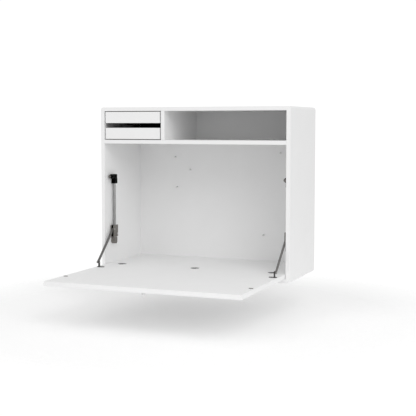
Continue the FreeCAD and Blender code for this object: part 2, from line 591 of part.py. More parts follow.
# ---------------------------------------------------------------- tray drawers
runners = []
runner_screws = []
RUNNER_SCREWS = ("(runner_start + runner_screw_a)", "(runner_start + runner_screw_b)")
RUNNER_SPOTS = (("left", "-%s" % INNER), ("right", "(divider_left - runner_wide)"))
for name, low in TRAYS:
    label = "drawer_" + name
    wall_low = "(%s + tray_lift)" % low
    wall_high = "(%s + tray_lift + tray_high)" % low
    floor_low = "(%s + tray_floor_lift)" % low
    rise = "tray_back_rise" if name == "lower" else "0"
    wall_front = inwards("front_thick")
    wall_back = inwards("tray_back_in")
    groove_low = "(%s - tray_play)" % floor_low
    groove_high = "(%s + tray_floor + tray_play)" % floor_low
    front = new_body(label + "_front")
    pad(front, label + "_front_board", "XZ_Plane", wall_front,
        rectangle(TRAY_LEFT, low, TRAY_RIGHT, "(%s + front_high)" % low), "front_thick")
    recess(front, label + "_front_groove", "XZ_Plane", "(%s - tray_groove)" % wall_front,
           rectangle("(%s + tray_wall - tray_groove)" % TRAY_LEFT, groove_low,
                     "(%s - tray_wall + tray_groove)" % TRAY_RIGHT, groove_high),
           "tray_groove + over")
    face = num("-depth")
    round_off(front, label + "_front_soft", "edge_soft",
              lambda edge: edge.BoundBox.YMax < face + NEAR)
    walls = (("left", TRAY_LEFT, "(%s + tray_wall)" % TRAY_LEFT, 1),
             ("right", "(%s - tray_wall)" % TRAY_RIGHT, TRAY_RIGHT, -1))
    for side_name, x0, x1, facing in walls:
        wall = new_body("%s_%s" % (label, side_name))
        pad(wall, "%s_%s_board" % (label, side_name), "YZ_Plane", x0,
            rectangle(wall_front, wall_low, wall_back, wall_high), "tray_wall")
        inner = ("(%s - tray_groove)" % x1, "(%s + over)" % x1)
        outer = ("(%s - over)" % x0, "(%s + runner_slot)" % x0)
        if facing < 0:
            inner = ("(%s - over)" % x0, "(%s + tray_groove)" % x0)
            outer = ("(%s - runner_slot)" % x1, "(%s + over)" % x1)
        recess(wall, "%s_%s_floor_groove" % (label, side_name), "XZ_Plane",
               "(%s - over)" % wall_front, rectangle(inner[0], groove_low, inner[1], groove_high),
               "tray_back_in - front_thick + 2*over")
        recess(wall, "%s_%s_runner_groove" % (label, side_name), "XZ_Plane",
               inwards("(runner_start - runner_play)"),
               rectangle(outer[0], "(%s + runner_lift - runner_play)" % low, outer[1],
                         "(%s + runner_lift + runner_high + runner_play)" % low),
               "tray_back_in")
    node(block(label + "_back_board", "(%s + tray_wall)" % TRAY_LEFT,
               "(%s - tray_wall)" % wall_back, "(%s + tray_floor + tray_play)" % floor_low,
               "(%s - (%s) - 2*tray_wall)" % (TRAY_RIGHT, TRAY_LEFT), "tray_wall",
               "(%s + %s - (%s + tray_floor + tray_play))" % (wall_high, rise, floor_low)),
         label + "_back")
    node(block(label + "_floor_sheet", "(%s + tray_wall - tray_groove + tray_play)" % TRAY_LEFT,
               "(%s - tray_groove + tray_play)" % wall_front, floor_low,
               "(%s - (%s) - 2*tray_wall + 2*tray_groove - 2*tray_play)" % (TRAY_RIGHT, TRAY_LEFT),
               "(tray_back_in - front_thick + tray_groove - tray_play)", "tray_floor"),
         label + "_floor")
    for side_name, x in RUNNER_SPOTS:
        tag = "runner_%s_%s" % (name, side_name)
        strip = block(tag + "_strip", x, inwards("runner_start"), "(%s + runner_lift)" % low,
                      "runner_wide", "runner_length", "runner_high")
        axis = "-x" if side_name == "left" else "x"
        face_x = "(%s + runner_wide)" % x if side_name == "left" else x
        tools = []
        for place, reach in zip("ab", RUNNER_SCREWS):
            spot = (face_x, inwards(reach), "(%s + runner_lift + runner_high/2)" % low)
            tools.append(screw_seat(tag + "_seat_" + place, axis, *spot, "runner_wide + over"))
            runner_screws.append(screw(tag + "_screw_" + place, axis, *spot,
                                       "runner_wide + dowel_sunk - blind_spare"))
        runners.append(cut(tag, strip, tools))
    spots = [(inwards(reach), "(%s + runner_lift + runner_high/2)" % low)
             for reach in RUNNER_SCREWS]
    drill(left, "left_%s_runner_pilots" % name, "YZ_Plane", "-" + INNER, spots, PILOT,
          "dowel_sunk")
    drill(divider, "divider_%s_runner_pilots" % name, "YZ_Plane", "divider_left", spots, PILOT,
          "dowel_sunk", back=True)
group("drawer_runners", runners)
group("drawer_runner_screws", runner_screws)

# ---------------------------------------------------------------- flap stays
rods = []
clips = []
magnets = []
wall_screws = []
foot_screws = []
foot_pins = []
catches = []
catch_screws = []
rod_y = inwards("rod_in")


def on_head_outline(edge):
    """Edges across the width at the top and the bottom of the fixed head."""
    box = edge.BoundBox
    if box.XLength < num("neck_wide/2") or box.ZLength > NEAR or box.YLength > NEAR:
        return False
    return (box.ZMax > num("head_low + head_high") - NEAR
            or box.ZMin < num("neck_low") + NEAR)


for name, side in SIDES:
    outward = "-x" if side < 0 else "x"
    rod_x = out_from(side, "rod_out", "rod_out")
    catch_x = out_from(side, "catch_out", "catch_out")

    nose_x = out_from(side, "nose_out", "nose_out")

    # fixed head with its round magnet nose, neck and the rod it carries
    head = block("stay_head_" + name, out_from(side, "0", "head_out"), inwards("head_in"),
                 "head_low", "head_out", "head_long", "head_high")
    nose = round_bar("stay_nose_" + name, "y", nose_x, inwards("nose_in"), "catch_up",
                     "nose_radius", "head_in - nose_in + over")
    snout = round_bar("stay_snout_" + name, "y", nose_x, inwards("snout_in"), "catch_up",
                      "snout_radius", "nose_in - snout_in + over")
    neck = block("stay_neck_" + name, out_from(side, "neck_out", "(neck_out + neck_wide)"),
                 inwards("neck_in"), "neck_low", "neck_wide", "neck_long",
                 "(head_low - neck_low + over)")
    shell = soften("stay_shell_" + name, fuse("stay_block_" + name, [head, nose, snout, neck]),
                   num("head_round"), on_head_outline)
    tools = [round_bar("stay_rod_bore_" + name, "z", rod_x, rod_y, "neck_low - over",
                       "rod_radius", "rod_high - neck_low + over"),
             round_bar("stay_magnet_bore_" + name, "y", nose_x, inwards("snout_in"), "catch_up",
                       "magnet_radius", "magnet_long")]
    spots = [("stay_screw_a_" + name, "head_screw_a", "catch_up"),
             ("stay_screw_b_" + name, "head_screw_b", "catch_up"),
             ("clip_screw_" + name, "rod_in", "(rod_low - clip_screw_drop)")]
    wells = []
    for tag, reach, z in spots:
        seat_x = out_from(side, "wall_screw_seat", "wall_screw_seat")
        wells.append([screw_seat(tag + "_seat", outward, seat_x, inwards(reach), z,
                                 "wall_screw_seat + over"),
                      round_bar(tag + "_well", "x",
                                out_from(side, "wall_screw_seat", "(head_out + over)"),
                                inwards(reach), z, "bore_radius",
                                "head_out - wall_screw_seat + over")])
        wall_screws.append(screw(tag, outward, seat_x, inwards(reach), z, "wall_screw_length"))
    node(cut("stay_housing_" + name, shell, tools + wells[0] + wells[1]), "stay_housing_" + name)
    magnets.append(round_bar("stay_magnet_" + name, "y", nose_x, inwards("snout_in"), "catch_up",
                             "magnet_radius", "magnet_long"))
    rods.append(round_bar("stay_rod_" + name, "z", rod_x, rod_y, "rod_low", "rod_radius",
                          "rod_high - rod_low"))

    # lower rod clip with a rounded end
    clip_round = round_bar("clip_round_" + name, "x", out_from(side, "0", "clip_out"), rod_y,
                           "rod_low", "clip_radius", "clip_out")
    clip_block = block("clip_block_" + name, out_from(side, "0", "clip_out"),
                       inwards("(rod_in - clip_radius)"), "rod_low", "clip_out",
                       "2*clip_radius", "clip_high")
    clip_bore = round_bar("clip_bore_" + name, "z", rod_x, rod_y, "rod_low", "rod_radius",
                          "clip_high + over")
    clips.append(cut("rod_clip_" + name, fuse("clip_solid_" + name, [clip_round, clip_block]),
                     [clip_bore] + wells[2]))

    # braked slider with a channel down its front face, open at both ends, for the arm
    face = "(slider_out + slider_wide)"
    channel_near = "(arm_out - fork_gap)"
    channel_far = "(arm_out + arm_thick + fork_gap)"
    carriage = block("slider_block_" + name, out_from(side, "slider_out", face),
                     inwards("slider_in"), "slider_low", "slider_wide", "slider_long",
                     "slider_high")
    bores = [round_bar("slider_bore_" + name, "z", rod_x, rod_y, "slider_low - over",
                       "rod_radius + running_play", "slider_high + 2*over"),
             block("slider_channel_" + name, out_from(side, channel_near, channel_far),
                   inwards("(slider_in - over)"), "slider_low - over",
                   "arm_thick + 2*fork_gap", "channel_deep + over", "slider_high + 2*over")]
    rivets = []
    for place, near, far in (("outer", "slider_out", channel_near),
                             ("inner", channel_far, face)):
        cheek_x = out_from(side, near, far)
        tag = "%s_%s" % (place, name)
        bores.append(round_bar("cheek_bore_" + tag, "x", cheek_x, inwards("fork_in"), "fork_up",
                               "rivet_radius", "%s - %s" % (far, near)))
        shank = round_bar("rivet_shank_" + tag, "x", cheek_x, inwards("fork_in"), "fork_up",
                          "rivet_radius", "%s - %s" % (far, near))
        cap_near = "(slider_out - rivet_head_high)" if place == "outer" else face
        cap_far = "slider_out" if place == "outer" else "(%s + rivet_head_high)" % face
        rivet_head = round_bar("rivet_head_" + tag, "x", out_from(side, cap_near, cap_far),
                               inwards("fork_in"), "fork_up", "rivet_head_radius",
                               "rivet_head_high")
        rivets.append(fuse("rivet_" + tag, [shank, rivet_head]))
    core_near = "(%s - brake_core)" % face
    bores.append(round_bar("brake_bore_" + name, "x", out_from(side, core_near, face),
                           inwards("(rod_in + brake_behind)"), "brake_up",
                           "small_screw_radius", "brake_core"))
    node(cut("stay_slider_" + name, carriage, bores), "stay_slider_" + name)
    group("slider_rivets_" + name, rivets)
    brake_head = round_bar("brake_head_" + name, "x",
                           out_from(side, face, "(%s + brake_high)" % face),
                           inwards("(rod_in + brake_behind)"), "brake_up", "brake_radius", "brake_high")
    brake_core = round_bar("brake_core_" + name, "x", out_from(side, core_near, face),
                           inwards("(rod_in + brake_behind)"), "brake_up",
                           "small_screw_radius", "brake_core")
    slot_near = "(%s + brake_high - brake_slot_deep)" % face
    slot_far = "(%s + brake_high + over)" % face
    brake_cut = block("brake_slot_" + name, out_from(side, slot_near, slot_far),
                      inwards("(rod_in + brake_behind - brake_slot/2)"),
                      "(brake_up - brake_radius - over)", "brake_slot_deep + over",
                      "brake_slot", "2*brake_radius + 2*over")
    node(cut("brake_screw_" + name, fuse("brake_solid_" + name, [brake_head, brake_core]),
             [brake_cut]), "brake_screw_" + name)

    # arm: a flat bar with rounded ends, one eye on the foot and one in the fork
    arm_body = new_body("stay_arm_" + name)
    arm_x = out_from(side, "arm_out", "(arm_out + arm_thick)")
    sketch = flat_sketch(arm_body, "arm_outline_" + name, "YZ_Plane", arm_x)
    low_eye = FreeCAD.Vector(num(inwards("foot_in")), num("foot_up"), 0)
    top_eye = FreeCAD.Vector(num(inwards("fork_in")), num("fork_up"), 0)
    along = (top_eye - low_eye).normalize()
    across = FreeCAD.Vector(-along.y, along.x, 0) * num("arm_half")
    tip = along * num("arm_half")
    arcs = [sketch.addGeometry(Part.Arc(low_eye + across, low_eye - tip, low_eye - across), False),
            sketch.addGeometry(Part.Arc(top_eye - across, top_eye + tip, top_eye + across), False)]
    lines = [sketch.addGeometry(Part.LineSegment(low_eye - across, top_eye - across), False),
             sketch.addGeometry(Part.LineSegment(top_eye + across, low_eye + across), False)]
    eyes = ((inwards("foot_in"), "foot_up"), (inwards("fork_in"), "fork_up"))
    for arc, (u, v) in zip(arcs, eyes):
        pin_point(sketch, arc, 3, u, v)
        index = sketch.addConstraint(Sketcher.Constraint("Radius", arc, num("arm_half")))
        sketch.setExpression("Constraints[%d]" % index, q("arm_half"))
    for line in lines:
        for end in (1, 2):
            spot = sketch.getPoint(line, end)
            pairs = [(arc, pos) for arc in arcs for pos in (1, 2)]
            arc, pos = min(pairs, key=lambda pair: (sketch.getPoint(*pair) - spot).Length)
            sketch.addConstraint(Sketcher.Constraint("Tangent", line, end, arc, pos))
    bar = arm_body.newObject("PartDesign::Pad", "arm_bar_" + name)
    bar.Profile = sketch
    bar.setExpression("Length", q("arm_thick"))
    drill(arm_body, "arm_foot_eye_" + name, "YZ_Plane", "(%s + arm_thick)" % arm_x,
          [(inwards("foot_in"), "foot_up")], "foot_pin_radius + running_play", "arm_thick")
    drill(arm_body, "arm_top_eye_" + name, "YZ_Plane", "(%s + arm_thick)" % arm_x,
          [(inwards("fork_in"), "fork_up")], "rivet_radius + arm_eye_play", "arm_thick")

    # foot on the flap: flat plate with round ends and an upright lug
    half = "foot_plate_wide/2"
    round_out = "(foot_plate_out + %s)" % half
    plate_end = "(foot_plate_out + foot_plate_long)"
    run_x = out_from(side, round_out, "(%s - %s)" % (plate_end, half))
    lug_far = "(foot_lug_out + foot_lug_thick)"
    lug_x = out_from(side, "foot_lug_out", lug_far)
    base = [block("foot_plate_" + name, run_x, "(%s - %s)" % (FOOT_Y, half), FLAP_TOP,
                  "foot_plate_long - foot_plate_wide", "foot_plate_wide", "foot_plate_thick")]
    for place, reach in (("near", round_out), ("far", "(%s - %s)" % (plate_end, half))):
        base.append(round_bar("foot_round_%s_%s" % (place, name), "z",
                              out_from(side, reach, reach), FOOT_Y, FLAP_TOP, half,
                              "foot_plate_thick"))
    post = block("foot_post_" + name, lug_x, "(%s - fork_radius)" % FOOT_Y, FLAP_TOP,
                 "foot_lug_thick", "2*fork_radius", "(foot_up - %s)" % FLAP_TOP)
    eye = round_bar("foot_eye_" + name, "x", lug_x, FOOT_Y, "foot_up", "fork_radius",
                    "foot_lug_thick")
    holes = [round_bar("foot_bore_" + name, "x", lug_x, FOOT_Y, "foot_up", "foot_pin_radius",
                       "foot_lug_thick")]
    for place, reach in (("a", "foot_screw_a"), ("b", "foot_screw_b")):
        spot = (out_from(side, reach, reach), FOOT_Y, "(%s + foot_plate_thick)" % FLAP_TOP)
        holes.append(screw_seat("foot_seat_%s_%s" % (place, name), "-z", *spot,
                                "foot_plate_thick + over"))
        foot_screws.append(screw("foot_screw_%s_%s" % (place, name), "-z", *spot,
                                 "foot_screw_length"))
    node(cut("stay_foot_" + name, fuse("foot_solid_" + name, base + [post, eye]), holes),
         "stay_foot_" + name)
    pin_end = "(arm_out - pin_spare)"
    pin_length = "(%s - %s)" % (lug_far, pin_end)
    foot_pins.append(fuse("foot_pin_" + name, [
        round_bar("foot_pin_shank_" + name, "x", out_from(side, pin_end, lug_far), FOOT_Y,
                  "foot_up", "foot_pin_radius", pin_length),
        round_bar("foot_pin_head_" + name, "x",
                  out_from(side, "(%s - foot_head_high)" % pin_end, pin_end), FOOT_Y,
                  "foot_up", "foot_head_radius", "foot_head_high")]))

    # oval steel plate that meets the magnet when the flap is shut
    half_run = "(catch_long - catch_wide)/2"
    middle = block("catch_middle_" + name, "(%s - %s)" % (catch_x, half_run),
                   "(%s - catch_wide/2)" % CATCH_Y, FLAP_TOP, "catch_long - catch_wide",
                   "catch_wide", "catch_thick")
    ends = [round_bar("catch_end_%s_%s" % (place, name), "z",
                      "(%s %s %s)" % (catch_x, sign, half_run), CATCH_Y, FLAP_TOP,
                      "catch_wide/2", "catch_thick") for place, sign in (("a", "-"), ("b", "+"))]
    spot = (catch_x, CATCH_Y, "(%s + catch_thick)" % FLAP_TOP)
    catches.append(cut("catch_plate_" + name, fuse("catch_oval_" + name, [middle] + ends),
                       [screw_seat("catch_seat_" + name, "-z", *spot, "catch_thick + over")]))
    catch_screws.append(screw("catch_screw_" + name, "-z", *spot, "catch_screw_length"))

group("stay_rods", rods)
group("rod_clips", clips)
group("stay_magnets", magnets)
group("stay_wall_screws", wall_screws)
group("stay_foot_screws", foot_screws)
group("stay_foot_pins", foot_pins)
group("catch_plates", catches)
group("catch_plate_screws", catch_screws)

# ---------------------------------------------------------------- knob under the free edge
# The knob is turned about its own upright axis and then moved out under the flap.
knob = new_body("flap_knob")
sketch = flat_sketch(knob, "knob_profile", "YZ_Plane", "0")
KNOB_LOW = "(%s - knob_long)" % FLAP_LOW
HOLE_END = "(%s - stud_long + stud_sunk - blind_spare)" % FLAP_LOW
BORE = "(stud_radius + screw_play)"
outline(sketch, [
    (BORE, FLAP_LOW),
    (BORE, HOLE_END),
    ("0", HOLE_END),
    ("0", KNOB_LOW),
    ("(knob_radius - knob_chamfer)", KNOB_LOW),
    ("knob_radius", "(%s + knob_chamfer)" % KNOB_LOW),
    ("knob_radius", "(%s + knob_band)" % KNOB_LOW),
    ("knob_neck", "(%s - knob_flare)" % FLAP_LOW),
    ("knob_neck", FLAP_LOW),
])
turned = knob.newObject("PartDesign::Revolution", "knob_turned")
turned.Profile = sketch
turned.ReferenceAxis = (sketch, ["V_Axis"])
turned.Angle = 360
knob.setExpression("Placement.Base.y", q(inwards("knob_in")))
node(round_bar("knob_stud_bar", "z", "0", inwards("knob_in"),
               "(%s - stud_long + stud_sunk)" % FLAP_LOW, "stud_radius", "stud_long"),
     "knob_stud")

# ---------------------------------------------------------------- pegs on the back panel
pegs = []
for place, (x, z) in zip("abcde", PEGS):
    shaft_y = "(%s - peg_long)" % BACK_FACE
    shaft = round_bar("peg_shaft_" + place, "y", x, shaft_y, z, "peg_radius", "peg_long")
    tenon = round_bar("peg_tenon_" + place, "y", x, "(%s - over)" % BACK_FACE, z,
                      "tenon_radius", "tenon_long + over")
    end = doc.addObject("Part::Sphere", "peg_end_" + place)
    end.setExpression("Radius", q("peg_radius"))
    put(end, x, shaft_y, z)
    pegs.append(fuse("peg_" + place, [shaft, tenon, end]))
group("pegs", pegs)

# ---------------------------------------------------------------- checks and files
doc.recompute()
faults = [item.Name for item in doc.Objects
          if "Invalid" in item.State or "Error" in item.State]
if faults:
    raise RuntimeError("features that failed: " + ", ".join(faults))
for item in nodes:
    if item.Shape.isNull() or not item.Shape.isValid() or not item.Shape.Solids:
        raise RuntimeError("no sound solid in " + item.Label)
os.makedirs("parts", exist_ok=True)
for item in nodes:
    item.Shape.exportStep("parts/%s.step" % item.Label)
print(len(nodes), "nodes written")
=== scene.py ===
import json
import math

import bmesh
import bpy
from mathutils import Matrix, Vector


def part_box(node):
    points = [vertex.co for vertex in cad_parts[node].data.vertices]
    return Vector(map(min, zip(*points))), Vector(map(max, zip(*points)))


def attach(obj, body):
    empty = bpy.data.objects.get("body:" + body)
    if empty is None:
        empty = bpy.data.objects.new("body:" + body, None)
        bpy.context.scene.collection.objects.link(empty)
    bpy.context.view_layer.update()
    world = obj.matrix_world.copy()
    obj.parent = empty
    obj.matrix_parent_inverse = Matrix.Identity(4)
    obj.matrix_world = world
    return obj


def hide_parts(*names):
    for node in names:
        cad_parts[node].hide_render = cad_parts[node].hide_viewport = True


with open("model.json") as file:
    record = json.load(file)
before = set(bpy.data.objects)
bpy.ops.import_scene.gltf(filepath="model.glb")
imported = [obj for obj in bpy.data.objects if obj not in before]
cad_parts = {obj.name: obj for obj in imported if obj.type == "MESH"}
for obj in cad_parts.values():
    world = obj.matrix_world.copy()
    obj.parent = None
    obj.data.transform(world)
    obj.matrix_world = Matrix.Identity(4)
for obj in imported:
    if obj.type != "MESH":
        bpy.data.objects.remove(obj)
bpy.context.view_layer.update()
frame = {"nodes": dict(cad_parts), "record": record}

MM = 0.001
NODES = frame["nodes"]
RECORD = frame["record"]
BODY_OF = {node: body for body, members in RECORD["behaviour"]["bodies"].items()
           for node in members}
SLOT_OF = {row["node"]: row["material_slot"] for row in RECORD["subparts"]}

# ------------------------------------------------------------------ node graph helpers


def add(tree, kind, **settings):
    """New node; plain settings are attributes of the node."""
    made = tree.nodes.new(kind)
    for key, value in settings.items():
        setattr(made, key, value)
    return made


def feed(tree, value, socket):
    """Join a socket to another socket, or write a plain value on it."""
    if isinstance(value, bpy.types.NodeSocket):
        tree.links.new(value, socket)
    else:
        socket.default_value = value


def maths(tree, operation, first, second=0.0, clamp=False):
    made = add(tree, "ShaderNodeMath", operation=operation, use_clamp=clamp)
    feed(tree, first, made.inputs[0])
    feed(tree, second, made.inputs[1])
    return made.outputs[0]


def vectors(tree, operation, first, second=(0.0, 0.0, 0.0)):
    made = add(tree, "ShaderNodeVectorMath", operation=operation)
    feed(tree, first, made.inputs[0])
    feed(tree, second, made.inputs[1])
    return made.outputs["Value" if operation in ("DOT_PRODUCT", "LENGTH") else "Vector"]


def spread(tree, value, low, high, new_low=0.0, new_high=1.0):
    """Stretch a value from low..high to new_low..new_high, held at both ends."""
    made = add(tree, "ShaderNodeMapRange", clamp=True)
    for socket, item in zip(made.inputs, (value, low, high, new_low, new_high)):
        feed(tree, item, socket)
    return made.outputs[0]


def blend_colours(tree, share, first, second):
    made = add(tree, "ShaderNodeMix", data_type="RGBA")
    feed(tree, share, made.inputs["Factor"])
    colours = [socket for socket in made.inputs if socket.type == "RGBA"]
    feed(tree, first, colours[0])
    feed(tree, second, colours[1])
    return [socket for socket in made.outputs if socket.type == "RGBA"][0]


def noise(tree, vector, scale, detail=3.0, rough=0.5):
    made = add(tree, "ShaderNodeTexNoise")
    feed(tree, vector, made.inputs["Vector"])
    feed(tree, scale, made.inputs["Scale"])
    feed(tree, detail, made.inputs["Detail"])
    feed(tree, rough, made.inputs["Roughness"])
    return made.outputs["Fac"]


def new_group(name, inputs, outputs):
    """Empty node group with named inputs (name, kind, default) and outputs (name, kind)."""
    tree = bpy.data.node_groups.new(name, "ShaderNodeTree")
    for label, kind, default in inputs:
        socket = tree.interface.new_socket(name=label, in_out="INPUT", socket_type=kind)
        if default is not None:
            socket.default_value = default
    for label, kind in outputs:
        tree.interface.new_socket(name=label, in_out="OUTPUT", socket_type=kind)
    source = add(tree, "NodeGroupInput")
    sink = add(tree, "NodeGroupOutput")
    return tree, source.outputs, sink.inputs


NUMBER, VECTOR = "NodeSocketFloat", "NodeSocketVector"

# ------------------------------------------------------------------ shared surface effects


def make_sprayed_film():
    """Faint orange peel with a finer stipple, as a sprayed lacquer dries."""
    tree, given, out = new_group(
        "sprayed_film",
        [("Vector", VECTOR, None), ("Peel Scale", NUMBER, 260.0), ("Stipple", NUMBER, 0.35)],
        [("Height", NUMBER), ("Sheen Mask", NUMBER)])
    peel = noise(tree, given["Vector"], given["Peel Scale"], 2.0, 0.45)
    fine_scale = maths(tree, "MULTIPLY", given["Peel Scale"], 6.0)
    fine = noise(tree, given["Vector"], fine_scale, 1.0, 0.5)
    stipple = maths(tree, "MULTIPLY", fine, given["Stipple"])
    feed(tree, maths(tree, "ADD", peel, stipple), out["Height"])
    cloud = noise(tree, given["Vector"], 9.0, 4.0, 0.55)
    feed(tree, spread(tree, cloud, 0.35, 0.65), out["Sheen Mask"])
    return tree


def make_edge_wear():
    """Mask along the arrises, broken up so that it looks handled and not drawn."""
    tree, given, out = new_group(
        "edge_wear",
        [("Vector", VECTOR, None), ("Width", NUMBER, 0.0012), ("Breakup Scale", NUMBER, 90.0),
         ("Amount", NUMBER, 1.0)],
        [("Mask", NUMBER), ("Line", NUMBER)])
    rounded = add(tree, "ShaderNodeBevel", samples=4)
    feed(tree, given["Width"], rounded.inputs["Radius"])
    flat = add(tree, "ShaderNodeNewGeometry")
    agree = vectors(tree, "DOT_PRODUCT", rounded.outputs["Normal"], flat.outputs["Normal"])
    line = spread(tree, agree, 0.999, 0.93)
    broken = noise(tree, given["Vector"], given["Breakup Scale"], 4.0, 0.6)
    worn = maths(tree, "MULTIPLY", line, spread(tree, broken, 0.42, 0.68))
    feed(tree, line, out["Line"])
    feed(tree, maths(tree, "MULTIPLY", worn, given["Amount"], clamp=True), out["Mask"])
    return tree


def make_settled_dust():
    """Thin film on faces that look up, thicker in patches."""
    tree, given, out = new_group(
        "settled_dust",
        [("Vector", VECTOR, None), ("Scale", NUMBER, 14.0), ("Amount", NUMBER, 0.3)],
        [("Mask", NUMBER)])
    facing = add(tree, "ShaderNodeTexCoord").outputs["Normal"]
    split = add(tree, "ShaderNodeSeparateXYZ")
    feed(tree, facing, split.inputs[0])
    up = spread(tree, split.outputs["Z"], 0.55, 0.95)
    patches = noise(tree, given["Vector"], given["Scale"], 5.0, 0.6)
    specks = noise(tree, given["Vector"], maths(tree, "MULTIPLY", given["Scale"], 40.0), 2.0)
    film = maths(tree, "MULTIPLY", spread(tree, patches, 0.35, 0.75),
                 spread(tree, specks, 0.3, 0.7))
    covered = maths(tree, "MULTIPLY", up, film)
    feed(tree, maths(tree, "MULTIPLY", covered, given["Amount"], clamp=True), out["Mask"])
    return tree


def make_hairlines():
    """Fine scratches drawn out along one axis; Stretch divides the scale on each axis."""
    tree, given, out = new_group(
        "hairlines",
        [("Vector", VECTOR, None), ("Stretch", VECTOR, None), ("Scale", NUMBER, 900.0)],
        [("Value", NUMBER), ("Height", NUMBER)])
    drawn = vectors(tree, "MULTIPLY", given["Vector"], given["Stretch"])
    broad = noise(tree, drawn, given["Scale"], 3.0, 0.6)
    narrow = noise(tree, drawn, maths(tree, "MULTIPLY", given["Scale"], 3.1), 2.0, 0.6)
    both = maths(tree, "ADD", maths(tree, "MULTIPLY", broad, 0.6),
                 maths(tree, "MULTIPLY", narrow, 0.4))
    feed(tree, spread(tree, both, 0.35, 0.65), out["Value"])
    feed(tree, both, out["Height"])
    return tree


def make_turned_rings():
    """Concentric tool marks about an upright axis through Centre."""
    tree, given, out = new_group(
        "turned_rings",
        [("Vector", VECTOR, None), ("Centre", VECTOR, None), ("Pitch", NUMBER, 0.0004)],
        [("Value", NUMBER), ("Height", NUMBER)])
    away = vectors(tree, "SUBTRACT", given["Vector"], given["Centre"])
    level = vectors(tree, "MULTIPLY", away, (1.0, 1.0, 0.0))
    radius = vectors(tree, "LENGTH", level)
    turns = maths(tree, "DIVIDE", radius, given["Pitch"])
    wander = noise(tree, away, 700.0, 2.0)
    wave = maths(tree, "SINE", maths(tree, "ADD", maths(tree, "MULTIPLY", turns, math.tau),
                                    maths(tree, "MULTIPLY", wander, 3.0)))
    value = spread(tree, wave, -1.0, 1.0)
    feed(tree, value, out["Value"])
    feed(tree, value, out["Height"])
    return tree


def make_moulded_skin():
    """Spark-eroded mould texture: packed shallow cells with a soft large-scale drift."""
    tree, given, out = new_group(
        "moulded_skin",
        [("Vector", VECTOR, None), ("Cell Scale", NUMBER, 1400.0)],
        [("Height", NUMBER), ("Drift", NUMBER)])
    cells = add(tree, "ShaderNodeTexVoronoi", feature="SMOOTH_F1")
    feed(tree, given["Vector"], cells.inputs["Vector"])
    feed(tree, given["Cell Scale"], cells.inputs["Scale"])
    feed(tree, cells.outputs["Distance"], out["Height"])
    drift = noise(tree, given["Vector"], 60.0, 3.0)
    feed(tree, spread(tree, drift, 0.35, 0.65), out["Drift"])
    return tree


def make_wood_figure():
    """Straight grain with pores for solid beech and stained plywood."""
    tree, given, out = new_group(
        "wood_figure",
        [("Vector", VECTOR, None), ("Stretch", VECTOR, None), ("Scale", NUMBER, 120.0)],
        [("Grain", NUMBER), ("Pores", NUMBER)])
    drawn = vectors(tree, "MULTIPLY", given["Vector"], given["Stretch"])
    grain = noise(tree, drawn, given["Scale"], 5.0, 0.65)
    feed(tree, spread(tree, grain, 0.3, 0.7), out["Grain"])
    pores = noise(tree, drawn, maths(tree, "MULTIPLY", given["Scale"], 9.0), 2.0, 0.5)
    feed(tree, spread(tree, pores, 0.56, 0.66), out["Pores"])
    return tree


GROUPS = {
    "film": make_sprayed_film(),
    "wear": make_edge_wear(),
    "dust": make_settled_dust(),
    "hairlines": make_hairlines(),
    "rings": make_turned_rings(),
    "skin": make_moulded_skin(),
    "wood": make_wood_figure(),
}


def place(tree, key, **values):
    """Put a shared group in a material; a double underscore in a name stands for a space."""
    made = add(tree, "ShaderNodeGroup", node_tree=GROUPS[key])
    for label, value in values.items():
        feed(tree, value, made.inputs[label.replace("__", " ")])
    return made.outputs


def start_material(name):
    """New material; returns it with its tree, its shader and its own coordinates."""
    material = bpy.data.materials.new(name)
    material.use_nodes = True
    tree = material.node_tree
    tree.nodes.clear()
    shader = add(tree, "ShaderNodeBsdfPrincipled")
    output = add(tree, "ShaderNodeOutputMaterial")
    tree.links.new(shader.outputs[0], output.inputs["Surface"])
    where = add(tree, "ShaderNodeTexCoord").outputs["Object"]
    return material, tree, shader.inputs, where


def bump(tree, shader, height, depth, strength):
    made = add(tree, "ShaderNodeBump")
    made.inputs["Strength"].default_value = strength
    made.inputs["Distance"].default_value = depth
    feed(tree, height, made.inputs["Height"])
    feed(tree, made.outputs[0], shader["Normal"])


def grey(value, warm=0.0):
    """Grey as a colour; warm lifts the red and lowers the blue by that share."""
    return (value * (1 + warm), value, value * (1 - warm), 1.0)


# ------------------------------------------------------------------ finishes

LACQUER = 0.88


def lacquer():
    """Matt white sprayed lacquer on fine fibreboard."""
    material, tree, shader, where = start_material("satin_white_lacquer")
    film = place(tree, "film", Vector=where)
    wear = place(tree, "wear", Vector=where, Width=0.0016, Breakup__Scale=70.0, Amount=0.5)
    dust = place(tree, "dust", Vector=where, Amount=0.10)
    coat = blend_colours(tree, film["Sheen Mask"], grey(LACQUER), grey(LACQUER * 0.988))
    handled = blend_colours(tree, wear["Mask"], coat, grey(LACQUER * 0.93, 0.006))
    dusty = blend_colours(tree, dust["Mask"], handled, grey(LACQUER * 0.9, 0.02))
    feed(tree, dusty, shader["Base Color"])
    matt = spread(tree, film["Sheen Mask"], 0.0, 1.0, 0.50, 0.58)
    feed(tree, maths(tree, "ADD", matt, maths(tree, "MULTIPLY", dust["Mask"], 0.6)),
         shader["Roughness"])
    shader["Specular IOR Level"].default_value = 0.32
    bump(tree, shader, film["Height"], 0.00006, 0.35)
    return material


